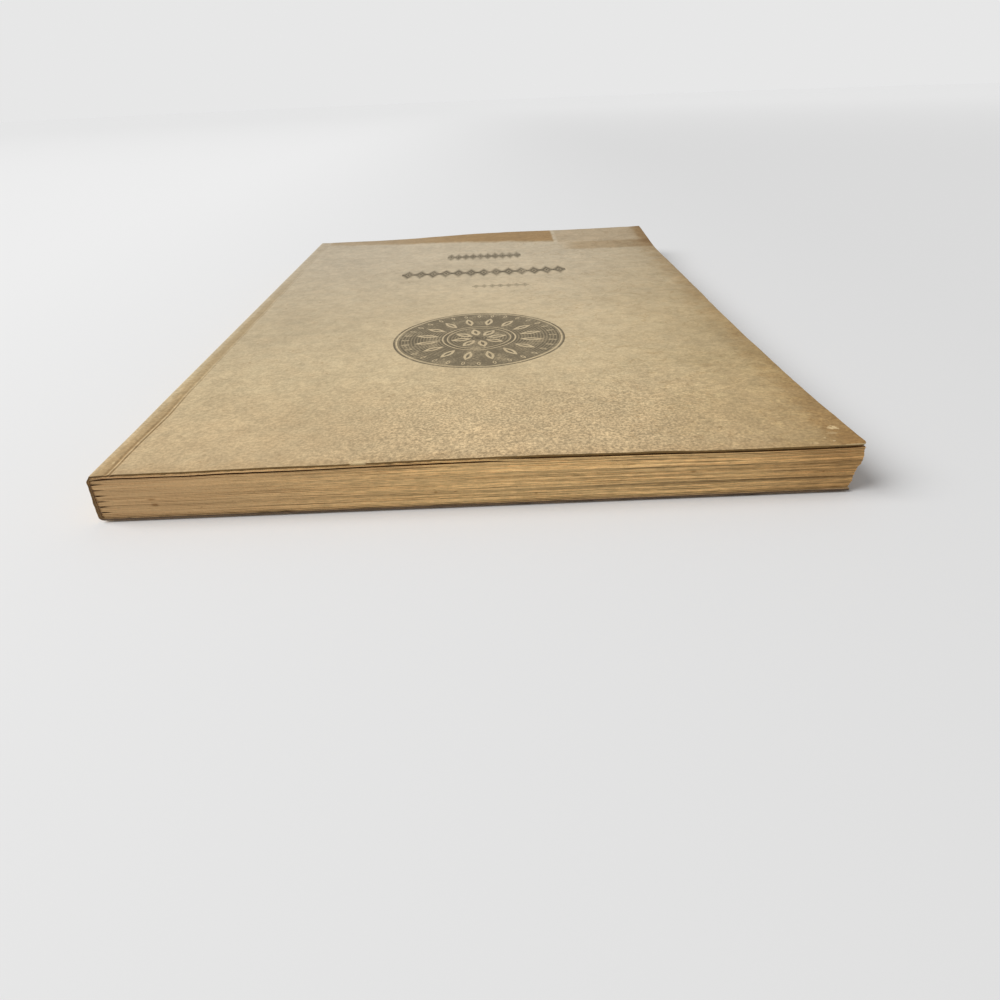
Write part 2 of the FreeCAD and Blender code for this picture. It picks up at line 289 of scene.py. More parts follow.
class Paint:
    """A material in the making, with short calls for the nodes that feed its shader.

    Its place is the point at rest in millimetres: a mesh attribute, or a CAD node's own coordinates.
    """

    def __init__(self, name, roughness, specular=0.25, cad_node=False):
        self.material = bpy.data.materials.new(name)
        self.material.use_nodes = True
        self.tree = self.material.node_tree
        self.shader = self.tree.nodes["Principled BSDF"]
        self.shader.inputs["Roughness"].default_value = roughness
        self.shader.inputs["Specular IOR Level"].default_value = specular
        if cad_node:
            source = self.node("TexCoord").outputs["Object"]
            self.place = self.vector("SCALE", source, scale=1 / MM)
        else:
            self.place = self.node("Attribute", attribute_name="place").outputs["Vector"]
        split = self.node("SeparateXYZ", {0: self.place})
        self.x, self.y, self.z = split.outputs

    def node(self, kind, sockets=None, **settings):
        """A node with its settings, and with values or other nodes' outputs in its sockets."""
        made = self.tree.nodes.new("ShaderNode" + kind)
        for name, value in settings.items():
            setattr(made, name, value)
        for name, value in (sockets or {}).items():
            self.join(made.inputs[name], value)
        return made

    def join(self, socket, value):
        """A value, a colour or another node's output in a socket."""
        if isinstance(value, bpy.types.NodeSocket):
            self.tree.links.new(value, socket)
        elif isinstance(value, tuple) and len(value) == 3 and len(socket.default_value) == 4:
            socket.default_value = (*value, 1)
        else:
            socket.default_value = value

    def vector(self, operation, a, b=None, scale=None):
        """One operation on vectors."""
        made = self.node("VectorMath", {0: a}, operation=operation)
        if b is not None:
            self.join(made.inputs[1], b)
        if scale is not None:
            self.join(made.inputs["Scale"], scale)
        return made.outputs["Value" if operation == "LENGTH" else "Vector"]

    def calc(self, operation, *values):
        """One operation on numbers."""
        return self.node("Math", dict(enumerate(values)), operation=operation).outputs[0]

    def times(self, *values):
        """A product of several."""
        return reduce(partial(self.calc, "MULTIPLY"), values)

    def plus(self, *values):
        """A total of several."""
        return reduce(partial(self.calc, "ADD"), values)

    def most(self, *values):
        """The largest of several."""
        return reduce(partial(self.calc, "MAXIMUM"), values)

    def absolute(self, value):
        """A value without its sign."""
        return self.calc("ABSOLUTE", value)

    def without(self, value):
        """What a share leaves of 1."""
        return self.calc("SUBTRACT", 1.0, value)

    def span(self, a, b):
        """The length of a step from its parts along two axes."""
        return self.calc("SQRT", self.plus(self.times(a, a), self.times(b, b)))

    def attribute(self, name):
        """A number that the mesh keeps at each point."""
        return self.node("Attribute", attribute_name=name).outputs["Fac"]

    def fade(self, value, low, high):
        """0 at low, 1 at high and smooth between."""
        sockets = {"Value": value, "From Min": low, "From Max": high}
        return self.node("MapRange", sockets, interpolation_type="SMOOTHSTEP").outputs["Result"]

    def range(self, value, low, high):
        """A value of 0 to 1 spread over low to high."""
        return self.node("MapRange", {"Value": value, "To Min": low, "To Max": high}).outputs["Result"]

    def between(self, value, low, high, soft):
        """1 between low and high, with soft sides."""
        rising = self.fade(value, low - soft, low + soft)
        return self.times(rising, self.fade(value, high + soft, high - soft))

    def noise(self, size, detail=2.0, seed=0, stretch=(1, 1, 1), rough=0.5, distortion=0.0):
        """Noise of about 0 to 1 with a typical size, drawn out along the axes by stretch."""
        rate = tuple(1 / size / s for s in stretch)
        shift = tuple(seed * step for step in NOISE_SHIFT)
        moved = self.vector("ADD", self.vector("MULTIPLY", self.place, rate), shift)
        sockets = {"Vector": moved, "Scale": 1.0, "Detail": detail, "Roughness": rough}
        return self.node("TexNoise", {**sockets, "Distortion": distortion}).outputs[0]

    def wander(self, reach, size, **settings):
        """Noise about 0 with a typical size, over a reach in millimetres."""
        return self.times(self.plus(self.noise(size, **settings), -0.5), reach)

    def blend(self, share, a, b, kind="MIX"):
        """Two colours mixed by a share of 0 to 1."""
        made = self.node("Mix", data_type="RGBA", blend_type=kind)
        self.join(made.inputs[0], share)
        self.join(made.inputs[6], a)
        self.join(made.inputs[7], b)
        return made.outputs[2]

    def tint(self, share, colour, by):
        """A colour multiplied by another, as far as a share of 0 to 1."""
        return self.blend(share, colour, by, "MULTIPLY")

    def shade(self, colour, noise, low, high):
        """A colour made darker and lighter by noise, between two factors."""
        return self.vector("SCALE", colour, scale=self.range(noise, low, high))

    def bump(self, height, depth, under=None):
        """A normal from a height of 0 to 1, over a depth in millimetres."""
        made = self.node("Bump", {"Height": height, "Distance": depth * MM, "Strength": 1.0})
        if under is not None:
            self.join(made.inputs["Normal"], under)
        return made.outputs["Normal"]

    def done(self, colour, normal, roughness=None):
        """The material with its colour and normal joined up."""
        self.join(self.shader.inputs["Base Color"], colour)
        self.join(self.shader.inputs["Normal"], normal)
        if roughness is not None:
            self.join(self.shader.inputs["Roughness"], roughness)
        return self.material


# The print: a plain rosette and rows of plain ornaments, in one worn ink

ROSETTE_CENTRE = (0.7, -38.6)
ROSETTE_RADIUS = 24.7
LINE_SOFT = 0.12
HATCH_PITCH = 0.9

# Rings of petals: their count, inner and outer radius, half width, turn, and where their open middle starts

PETAL_RINGS = (
    (16, 11.4, 19.2, 1.45, 0.0, 0.30),
    (32, 19.6, 22.9, 0.80, 0.5, 0.30),
    (8, 1.8, 8.7, 1.75, 0.25, 0.40),
)
INK_RINGS = ((ROSETTE_RADIUS - 0.5, ROSETTE_RADIUS), (9.4, 10.2), (0.0, 1.3))
BARE_RINGS = ((23.5, 24.0), (10.3, 10.7), (9.0, 9.3))

# Rows of ornaments: start, end, height, count, half width, half height, softness and strength

ORNAMENT_ROWS = (
    (-29.5, 34.0, 42.0, 13, 2.50, 5.8, 0.42, 1.0),
    (-13.0, 18.0, 71.0, 10, 2.0, 5.4, 0.60, 0.95),
    (-2.0, 18.5, 20.6, 7, 1.3, 2.4, 0.50, 0.55),
)


def petals(paint, radius, angle, count, inner, outer, width, turn):
    """How far inside a ring of petals a point lies, in millimetres: above 0 inside."""
    cell = paint.calc("FRACT", paint.plus(paint.times(angle, count / (2 * math.pi)), 100 + turn))
    aside = paint.times(radius, paint.absolute(paint.plus(cell, -0.5)), 2 * math.pi / count)
    along = paint.times(paint.plus(radius, -inner), math.pi / (outer - inner))
    along = paint.most(0.0, paint.calc("MINIMUM", along, math.pi))
    half = paint.times(paint.calc("SINE", along), width)
    return paint.calc("SUBTRACT", half, aside)


def rosette(paint):
    """A round ornament of three rings of petals on a hatched ground."""
    dx = paint.plus(paint.x, -ROSETTE_CENTRE[0])
    dy = paint.plus(paint.y, -ROSETTE_CENTRE[1])
    radius = paint.span(dx, dy)
    angle = paint.calc("ARCTAN2", dy, dx)

    def rings(edges):
        return paint.most(*(paint.between(radius, low, high, LINE_SOFT) for low, high in edges))

    def petal_ring(count, inner, outer, width, turn, edge):
        inside = petals(paint, radius, angle, count, inner, outer, width, turn)
        open_middle = paint.fade(inside, edge - LINE_SOFT, edge + LINE_SOFT)
        vein = paint.fade(inside, width * 0.66, width * 0.78)
        return open_middle, vein

    wave = paint.calc("SINE", paint.times(radius, 2 * math.pi / HATCH_PITCH))
    hatch = paint.range(paint.fade(wave, -0.9, 0.2), 0.72, 1.0)
    opened, veins = zip(*(petal_ring(*values) for values in PETAL_RINGS))
    ground = paint.times(hatch, paint.without(paint.most(*opened)))
    inked = paint.most(ground, *veins, rings(INK_RINGS))
    inked = paint.times(inked, paint.without(rings(BARE_RINGS)))
    return paint.times(inked, paint.fade(radius, ROSETTE_RADIUS + LINE_SOFT, ROSETTE_RADIUS - LINE_SOFT))


def ornaments(paint, start, end, height, count, half_width, half_height, soft, strength):
    """A row of hollow lozenges with a dot between each and the next."""
    pitch = (end - start) / count
    cell = paint.plus(paint.calc("FRACT", paint.times(paint.plus(paint.x, -start), 1 / pitch)), -0.5)
    dx = paint.absolute(paint.times(cell, pitch))
    dy = paint.absolute(paint.plus(paint.y, -height))
    spot = paint.plus(paint.times(dx, 1 / half_width), paint.times(dy, 1 / half_height))
    lozenge = paint.fade(spot, 1 + soft, 1 - soft)
    heart = paint.fade(spot, 0.24, 0.14)
    hollow = paint.times(paint.fade(spot, 0.40 + soft / 2, 0.40 - soft / 2), 1 - 1.2 * soft)
    solid = paint.plus(paint.calc("SUBTRACT", lozenge, hollow), heart)
    gap = paint.calc("SUBTRACT", pitch / 2, dx)
    dot = paint.fade(paint.span(gap, dy), half_height * 0.26, half_height * 0.18)
    return paint.times(paint.most(solid, dot), paint.between(paint.x, start, end, 0.1), strength)


def print_mask(paint):
    """How much ink lies at each point of the front cover."""
    inked = paint.most(rosette(paint), *(ornaments(paint, *row) for row in ORNAMENT_ROWS))
    fine = paint.noise(0.55, detail=3, seed=11)
    patchy = paint.noise(6.0, detail=3, seed=12)
    wear = paint.fade(paint.plus(fine, paint.times(patchy, 0.9)), 0.62, 1.02)
    return paint.times(inked, paint.range(wear, 0.50, 0.95))


# The wrapper's card


def card_texture(paint, colour, mottling, rough):
    """Mottling, fine fibres and rough flecks, in the colour and as a normal."""
    broad = paint.noise(34.0, detail=3, seed=1)
    cloudy = paint.noise(7.5, detail=4, seed=2, rough=0.6)
    grain = paint.noise(0.75, detail=3, seed=3, rough=0.65)
    fibres = paint.noise(0.35, detail=2, seed=4, stretch=(3, 1, 1), distortion=0.6)
    speckle = paint.fade(grain, 0.34, 0.66)
    flecks = paint.fade(paint.noise(0.60, detail=3, seed=15, rough=0.7), 0.36, 0.64)
    curds = paint.fade(paint.noise(2.6, detail=4, seed=16, rough=0.62, distortion=0.7), 0.34, 0.66)
    colour = paint.shade(colour, broad, 0.86, 1.14)
    colour = paint.shade(colour, cloudy, 1 - 0.18 * mottling, 1 + 0.18 * mottling)
    colour = paint.shade(colour, curds, 1 - 0.07 * mottling, 1 + 0.07 * mottling)
    near = paint.range(paint.fade(paint.y, 10.0, -95.0), 0.15, 1.0)
    colour = paint.blend(near, colour, paint.shade(colour, speckle, 0.87, 1.13))
    colour = paint.blend(rough, colour, paint.shade(colour, flecks, 0.72, 1.30))
    colour = paint.shade(colour, fibres, 0.95, 1.05)
    colour = paint.tint(paint.noise(5.0, detail=2, seed=10), colour, (1.05, 0.985, 0.94))
    normal = paint.bump(cloudy, 0.10)
    normal = paint.bump(grain, 0.06, normal)
    normal = paint.bump(fibres, 0.02, normal)
    return colour, normal


# Small pale spots on the cover, rubbed card and at the bent tail edge and near corner partly a painted
# highlight: x, y, the reach along both and how pale they are

RUBBED_AND_LIT_SPOTS = (
    (72.7, -107.1, 1.2, 0.8, 1.0), (71.6, -109.6, 1.3, 0.6, 0.40), (69.4, -111.6, 0.3, 0.3, 0.5),
    (70.6, -113.0, 0.3, 0.3, 0.7), (-22.4, -114.5, 2.0, 0.8, 0.9), (-72.1, -109.6, 0.25, 0.5, 0.7),
    (73.4, -115.0, 2.6, 0.22, 0.8), (66.5, -113.8, 0.8, 0.3, 0.5),
)

# Painted shade in the two pressed grooves beside the crease, and a painted highlight on the ridge between
# them: start, end and softness

CREASE_GROOVE_SHADE = ((-70.60, -70.34, 0.14), (-71.6, -71.25, 0.30))
CREASE_RIDGE_HIGHLIGHT = (-70.98, -70.78, 0.10)

# The strip at the head: its brown band with a sloping edge, a pale field beside it and a darker field under
# that

BAND_X, BAND_Y = (-70.0, 34.0), (90.0, 95.0)
BAND_LEVEL_X, BAND_SLOPE = 33.0, 0.15
PALE_X, PALE_Y = (35.6, 72.5), (89.0, 92.5)
UNDER_PALE_X, UNDER_PALE_Y = (34.0, 44.0), (78.0, 90.5)


def away_from(paint, across, along, spot):
    """How far a point lies from a spot's centre, as a share of the spot's reach."""
    u, v, wide, long = spot
    aside = paint.times(paint.plus(across, -u), 1 / wide)
    return paint.span(aside, paint.times(paint.plus(along, -v), 1 / long))


def rubbed_and_lit_spots(paint):
    """How pale a point of the cover is in the small pale spots: rubbed card, partly a painted highlight at
    the bent edges.
    """
    ragged = paint.wander(3.6, 0.7, detail=3, seed=14, rough=0.7)
    pale = []
    for *spot, strength in RUBBED_AND_LIT_SPOTS:
        away = paint.plus(away_from(paint, paint.x, paint.y, spot), ragged)
        pale.append(paint.times(paint.fade(away, 1.15, 0.45), strength))
    return paint.most(*pale)


def cover_face():
    """The front and spine of the wrapper: mottled card, toned brown at its edges, and the print, with some
    painted sheen, shade and highlights.
    """
    paint = Paint("cover_face", 0.82)
    # Paler and greyer towards the head: a painted sheen, as on card seen at a grazing angle
    colour = paint.blend(paint.fade(paint.y, -90.0, 100.0), CARD_NEAR, CARD_FAR_SHEEN)
    drift = paint.wander(26.0, 16.0, detail=3, seed=5)
    x = paint.plus(paint.x, drift)
    y = paint.plus(paint.y, drift)

    left = paint.times(paint.fade(x, 0.0, -60.0), paint.fade(y, -85.0, -30.0))
    colour = paint.tint(left, colour, (0.94, 0.945, 0.96))
    tail = paint.fade(y, -55.0, -112.0)
    colour = paint.tint(tail, colour, (0.95, 0.90, 0.86))
    right = paint.times(paint.fade(x, 22.0, 84.0), paint.range(paint.fade(y, 90.0, -105.0), 0.62, 1.0))
    colour = paint.tint(right, colour, (0.71, 0.66, 0.55))
    ragged = paint.wander(16.0, 5.0, detail=4, seed=6, rough=0.65)
    edge = paint.fade(paint.plus(paint.x, ragged), 65.0, 77.0)
    colour = paint.tint(edge, colour, (0.80, 0.72, 0.62))
    corner = paint.times(edge, paint.fade(y, -92.0, -112.0))
    colour = paint.tint(corner, colour, (0.97, 0.90, 0.80))

    tail_edge = paint.fade(paint.plus(paint.y, paint.times(ragged, 0.5)), TAIL + 5.0, TAIL)
    colour = paint.tint(paint.times(tail_edge, 0.5), colour, (0.85, 0.78, 0.70))

    strip = paint.between(paint.plus(paint.x, paint.times(ragged, 0.12)), CREASE - 2.7, CREASE - 0.1, 0.7)
    strip = paint.times(strip, paint.range(paint.fade(paint.y, 60.0, -20.0), 0.25, 1.0))
    colour = paint.tint(strip, colour, (0.83, 0.77, 0.68))
    spine = paint.fade(paint.x, SPINE_FACE + 0.6, SPINE_FACE + 0.15)
    colour = paint.tint(spine, colour, (0.86, 0.77, 0.62))
    creased = paint.range(paint.fade(paint.y, -40.0, -100.0), 0.05, 1.0)
    # Painted shade in the crease's grooves and a painted highlight on its ridge, strongest towards the tail
    groove_shade = paint.most(*(paint.between(paint.x, *line) for line in CREASE_GROOVE_SHADE))
    colour = paint.tint(paint.times(groove_shade, creased), colour, (0.74, 0.66, 0.56))
    ridge_highlight = paint.between(paint.x, *CREASE_RIDGE_HIGHLIGHT)
    colour = paint.blend(paint.times(ridge_highlight, creased, 0.28), colour, RUBBED_AND_LIT_CARD)

    taper = paint.times(paint.plus(paint.x, -BAND_LEVEL_X), BAND_SLOPE)
    head = paint.fade(paint.plus(paint.y, taper, paint.times(ragged, 0.35)), *BAND_Y)
    band = paint.times(head, paint.between(paint.x, *BAND_X, 0.6))
    band = paint.times(band, paint.range(paint.fade(paint.x, -66.0, 0.0), 0.45, 0.95))
    colour = paint.blend(band, colour, STRIP_BROWN)
    pale = paint.times(paint.fade(paint.y, *PALE_Y), paint.between(paint.x, *PALE_X, 0.7))
    colour = paint.blend(paint.times(pale, 0.8), colour, STRIP_PALE)
    under = paint.times(paint.between(paint.y, *UNDER_PALE_Y, 1.6), paint.fade(paint.x, *UNDER_PALE_X))
    colour = paint.tint(paint.times(under, 0.85), colour, (0.76, 0.67, 0.56))
    # Darker at the far curled corner: toned card and painted shade of the curl
    far_corner_tone_and_shade = paint.times(paint.fade(paint.x, 70.0, 74.5), paint.fade(paint.y, 72.0, 92.0))
    colour = paint.tint(far_corner_tone_and_shade, colour, (0.74, 0.64, 0.52))

    vein = paint.noise(11.0, detail=2, seed=7, distortion=1.4)
    streak = paint.fade(paint.absolute(paint.plus(vein, -0.5)), 0.026, 0.0)
    streak = paint.times(streak, paint.fade(paint.x, -5.0, 30.0), paint.noise(20.0, seed=8))
    colour = paint.tint(paint.times(streak, 0.8), colour, (0.76, 0.70, 0.62))
    pale_vein = paint.noise(7.0, detail=3, seed=17, stretch=(1.8, 1, 1), distortion=1.2)
    pale_vein = paint.fade(paint.absolute(paint.plus(pale_vein, -0.5)), 0.035, 0.0)
    pale_vein = paint.times(pale_vein, paint.fade(paint.x, 15.0, 60.0), paint.fade(paint.y, -40.0, -85.0))
    colour = paint.tint(paint.times(pale_vein, 0.7), colour, (1.22, 1.24, 1.22))

    specks = paint.fade(paint.noise(1.6, detail=1, seed=9), 0.70, 0.76)
    colour = paint.tint(paint.times(specks, 0.35), colour, (0.62, 0.52, 0.42))

    rough = paint.times(paint.fade(paint.y, -55.0, -98.0), paint.between(paint.x, -25.0, 52.0, 22.0))
    colour, normal = card_texture(paint, colour, 1.0, paint.range(rough, 0.04, 1.0))
    # Pale rubbed spots, partly painted highlights at the bent edges
    colour = paint.blend(paint.times(rubbed_and_lit_spots(paint), 0.75), colour, RUBBED_AND_LIT_CARD)
    colour = paint.blend(print_mask(paint), colour, INK)
    return paint.done(colour, normal)


def toward_edges(paint, ragged, across, along):
    """0 well inside a cover or a leaf and 1 at its edges, between two distances along X and two along Y."""
    beside = paint.fade(paint.plus(paint.absolute(paint.x), ragged), *across)
    ends = paint.fade(paint.plus(paint.absolute(paint.y), ragged), *along)
    return paint.most(beside, ends)


def cover_plain(name, base, toning):
    """Card without print: mottled and toned towards its edges."""
    paint = Paint(name, 0.84)
    ragged = paint.wander(12.0, 6.0, detail=3, seed=21)
    colour = paint.tint(toward_edges(paint, ragged, (60.0, 75.0), (98.0, 114.0)), base, toning)
    foxing = paint.fade(paint.noise(9.0, detail=4, seed=22), 0.62, 0.80)
    colour = paint.tint(paint.times(foxing, 0.5), colour, (0.78, 0.64, 0.46))
    colour, normal = card_texture(paint, colour, 0.5, 0.2)
    return paint.done(colour, normal)


def cut_edge():
    """The card's cut edge: brown and fibrous, darkest round the spine, darker below with dirt and painted
    contact shade, and pale where it is rubbed or bent, there partly a painted highlight.
    """
    paint = Paint("cover_cut_edge", 0.88)
    layers = paint.noise(0.22, detail=2, seed=31, stretch=(14, 14, 1))
    grain = paint.noise(0.8, detail=3, seed=32)
    spine = paint.fade(paint.x, -66.0, -72.0)
    colour = paint.blend(spine, CUT_CARD, CUT_SPINE)
    # Darker towards the table on the back cover's edge: dirt and painted contact shade
    below = paint.range(paint.fade(paint.z, 0.44, 0.24), 0.35, 1.0)
    colour = paint.blend(paint.times(paint.fade(paint.z, 1.0, 0.6), below), colour, CUT_DIRT_AND_SHADE)
    colour = paint.shade(colour, layers, 0.75, 1.30)
    colour = paint.shade(colour, grain, 0.60, 1.40)
    # Pale at the near corner's arris and at a bend of the front edge: rubbed card and a painted highlight
    corner = paint.times(paint.fade(paint.x, 66.0, 72.0), paint.fade(paint.y, -111.0, -114.0))
    worn_and_lit_corner = paint.times(corner, paint.fade(paint.z, COVER_UNDERSIDE + 0.74, COVER_UNDERSIDE + 0.88))
    rubbed_and_lit_bend = paint.times(paint.between(paint.x, -24.0, -21.0, 0.3), paint.fade(paint.z, 10.2, 10.5))
    colour = paint.blend(paint.times(paint.most(worn_and_lit_corner, rubbed_and_lit_bend), 0.8), colour, RUBBED_AND_LIT_CARD)
    return paint.done(colour, paint.bump(layers, 0.05, paint.bump(grain, 0.08)))


# The paper and the sewing


def page_edge():
    """The cut edges of the leaves, toned unevenly from leaf to leaf, with painted shade in the gaps."""
    paint = Paint("page_edge", 0.85)
    patches = paint.noise(9.0, detail=3, seed=43, stretch=(2, 2, 0.6))
    grain = paint.noise(0.45, detail=2, seed=44)
    dashes = paint.fade(paint.noise(0.15, detail=1, seed=42, stretch=(16, 16, 1)), 0.3, 0.7)
    colour = paint.blend(paint.fade(paint.x, -72.0, 8.0), LEAVES_LEFT, LEAVES_RIGHT)
    colour = paint.tint(paint.fade(paint.x, 42.0, 76.0), colour, (0.76, 0.68, 0.60))
    colour = paint.shade(colour, paint.attribute("tone"), 0.58, 1.42)
    colour = paint.shade(colour, patches, 0.88, 1.12)
    lined = paint.fade(paint.x, -66.0, -20.0)
    colour = paint.blend(lined, colour, paint.shade(colour, dashes, 1.18, 0.78))
    colour = paint.shade(colour, grain, 0.86, 1.14)
    specks = paint.fade(paint.noise(0.8, detail=1, seed=45, stretch=(1.6, 1.6, 0.7)), 0.70, 0.80)
    colour = paint.tint(paint.times(specks, 0.6), colour, (0.50, 0.40, 0.30))
    stained = paint.times(edge_stains(paint), paint.fade(paint.y, PAGE_TAIL + 2.0, PAGE_TAIL + 1.0))
    colour = paint.tint(paint.times(stained, 0.7), colour, (0.55, 0.45, 0.33))
    mottle = paint.wander(0.8, 0.7, detail=3, seed=46)
    glued = paint.fade(paint.plus(paint.x, mottle), FOLD_TIP + 0.45, FOLD_TIP - 0.05)
    colour = paint.tint(glued, colour, (0.34, 0.23, 0.14))
    # Painted shade in the gaps between the leaves, where the mesh's valleys lie
    colour = paint.tint(paint.attribute("gap"), colour, (0.22, 0.13, 0.06))
    return paint.done(colour, paint.bump(grain, 0.03))


# Small stains on the tail of the pages: x, z and the reach along both

STAINS = (
    (-64.3, 4.4, 0.9, 0.30), (-63.9, 3.1, 0.9, 0.50), (-62.2, 0.62, 0.5, 0.25), (72.3, 0.92, 1.6, 0.20),
    (30.6, 7.9, 1.3, 0.16), (-8.0, 3.4, 0.5, 0.30), (12.0, 2.2, 0.4, 0.30), (43.0, 5.6, 0.7, 0.20),
)


def edge_stains(paint):
    """How far a point of the tail lies in the small stains."""
    return paint.most(*(paint.fade(away_from(paint, paint.x, paint.z, spot), 1.2, 0.3) for spot in STAINS))


def page_face():
    """The face of a leaf: soft old paper, browned towards its edges, darker at its head and tail rim partly
    with painted shade, and with faint spots.
    """
    paint = Paint("page_face", 0.86)
    ragged = paint.wander(16.0, 8.0, detail=3, seed=51)
    browned = toward_edges(paint, ragged, (48.0, 75.0), (86.0, 114.0))
    colour = paint.blend(browned, PAPER, PAPER_BROWNED)
    # Darker, browner rim at head and tail: browning and painted warm shade in the gap under the cover
    rim = paint.fade(paint.absolute(paint.y), 113.2, 114.6)
    colour = paint.tint(rim, colour, (0.62, 0.46, 0.30))
    spots = paint.fade(paint.noise(4.5, detail=2, seed=52), 0.68, 0.80)
    colour = paint.tint(paint.times(spots, 0.5), colour, (0.82, 0.66, 0.46))
    cloudy = paint.noise(12.0, detail=4, seed=53)
    grain = paint.noise(0.5, detail=3, seed=54)
    colour = paint.shade(colour, cloudy, 0.93, 1.07)
    colour = paint.shade(colour, grain, 0.94, 1.06)
    return paint.done(colour, paint.bump(grain, 0.03, paint.bump(cloudy, 0.15)))


def glue():
    """Old brown glue, cracked and dull."""
    paint = Paint("glue", 0.55, specular=0.4, cad_node=True)
    lumps = paint.noise(0.9, detail=4, seed=61)
    colour = paint.blend(lumps, GLUE_DARK, GLUE_LIGHT)
    return paint.done(colour, paint.bump(lumps, 0.15))


def thread():
    """Unbleached sewing thread with its strands twisted round it."""
    paint = Paint("thread", 0.8, cad_node=True)
    turn = paint.plus(paint.times(paint.y, 5.0), paint.times(paint.x, 9.0), paint.times(paint.z, 9.0))
    strands = paint.plus(paint.times(paint.calc("SINE", turn), 0.5), 0.5)
    colour = paint.blend(strands, THREAD_DARK, THREAD_LIGHT)
    return paint.done(colour, paint.bump(strands, 0.05))


COVER_FACE = cover_face()
COVER_BACK = cover_plain("cover_back_face", (0.560, 0.435, 0.262), (0.74, 0.64, 0.52))
COVER_INSIDE = cover_plain("cover_inside", (0.640, 0.520, 0.335), (0.78, 0.68, 0.55))
CUT_EDGE = cut_edge()
PAGE_EDGES = page_edge()
PAGE_FACE = page_face()


# Meshes: the steps between their points, the finer rows at their edges, and their rounded edges

FRONT_STEPS = (1.25, 1.45)
BACK_STEPS = (2.2, 2.6)
SPINE_STEP = 1.9
PAGE_STEP = 2.75
FINE_EDGE = (0, 0.1, 0.25, 0.5, 1.0, 1.8)
EDGE_ROUND, EDGE_DROP = 0.45, 0.05
EDGE_INSET = 0.10
SHARP_ANGLE = 45
HAIR = 1e-6


def make_piece(name, points, faces, materials, kinds, node, attributes=None):
    """A mesh piece in place of a CAD node, from points in millimetres that it also keeps as its places."""
    mesh = bpy.data.meshes.new(name)
    mesh.from_pydata((points * MM).tolist(), [], faces)
    place = mesh.attributes.new("place", "FLOAT_VECTOR", "POINT")
    place.data.foreach_set("vector", points.astype(np.float32).ravel())
    for title, values in (attributes or {}).items():
        mesh.attributes.new(title, "FLOAT", "POINT").data.foreach_set("value", values.astype(np.float32))
    for material in materials:
        mesh.materials.append(material)
    mesh.polygons.foreach_set("material_index", np.array(kinds, dtype=np.int32))
    mesh.shade_smooth()
    mesh.set_sharp_from_angle(angle=math.radians(SHARP_ANGLE))
    mesh.update()
    piece = bpy.data.objects.new(name, mesh)
    bpy.context.collection.objects.link(piece)
    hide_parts(node)
    return piece


def grid_faces(index):
    """The four-sided faces of a grid of point numbers."""
    corners = [index[:-1, :-1], index[1:, :-1], index[1:, 1:], index[:-1, 1:]]
    return np.stack(corners, -1).reshape(-1, 4)


def rim_of(index):
    """The point numbers round a grid's outside."""
    return np.concatenate([index[:-1, 0], index[-1, :-1], index[:0:-1, -1], index[0, :0:-1]])


def band_faces(upper, lower):
    """The faces between two closed rows of point numbers."""
    return np.stack([upper, lower, np.roll(lower, -1), np.roll(upper, -1)], -1)


# Where the card's cut edge stands out: shares of its thickness, and how far, rounded by handling

EDGE_ROWS = ((0.10, 0.07), (0.35, 0.12), (0.70, 0.11), (0.93, 0.05))
EDGE_ROUGH = 0.05


def card_piece(name, outer, inner, butted, materials, node):
    """A piece of card from grids of points on its outer and inner faces, with a rounded, rough cut edge.

    Each place in the grids' rims where butted is true meets another piece of the card, and stays square.
    """
    rows, columns = outer.shape[:2]
    index = np.arange(rows * columns).reshape(rows, columns)
    faces = [grid_faces(index), grid_faces(index)[:, ::-1] + index.size]
    kinds = [0] * len(faces[0]) + [1] * len(faces[1])
    points = [outer.reshape(-1, 3), inner.reshape(-1, 3)]
    rim = rim_of(index)
    inward = outer[np.clip(rim // columns, 1, rows - 2), np.clip(rim % columns, 1, columns - 2)]
    outward = points[0][rim] - inward
    outward /= np.linalg.norm(outward, axis=1)[:, None]
    free = np.where(butted.ravel()[rim], 0.0, 1.0)
    upper = rim
    for share, reach in EDGE_ROWS:
        middle = points[0][rim] * (1 - share) + points[1][rim] * share
        rough = EDGE_ROUGH * ripple(middle[:, 0] * 3, middle[:, 1] * 3 + share * 40, 4.0, seed=3)
        points.append(middle + outward * ((reach + rough) * free)[:, None])
        lower = np.arange(len(rim)) + sum(len(p) for p in points[:-1])
        faces.append(band_faces(upper, lower))
        upper = lower
    faces.append(band_faces(upper, rim + index.size))
    kinds += [2] * (len(EDGE_ROWS) + 1) * len(rim)
    points, faces = np.concatenate(points), np.concatenate(faces).tolist()
    return make_piece(name, points, faces, materials, kinds, node)


# The card's relief

CREASE_GROOVES = ((-70.47, 0.32, 0.15), (-71.40, 0.60, 0.13))


def relief(x, y):
    """The dips and swells of the front face: the pressed creases, the cockling and the small dents."""
    dip = 0
    for place, width, depth in CREASE_GROOVES:
        wander = 0.06 * ripple(y, 0 * y, 35.0, seed=71)
        dip = dip + depth * hump((x - place - wander) / width) * (0.25 + 0.75 * ease(-(y + 40) / 50))
    swell = 0.05 * ripple(x, y, 24.0, seed=72) + 0.025 * ripple(x, y, 8.0, seed=73)
    return swell * ease((x - SPINE_FACE) / 4) - dip


def rounding(distance, radius, drop):
    """How far a face falls near its edge."""
    return drop * (1 - np.sqrt(1 - (1 - np.clip(distance / radius, 0, 1)) ** 2))


def drawn_in(y):
    """How far the card's two end rows lie in from its ends, which leaves room for its rounded edge."""
    return np.where(y <= TAIL + HAIR, EDGE_INSET, 0.0) - np.where(y >= HEAD - HAIR, EDGE_INSET, 0.0)


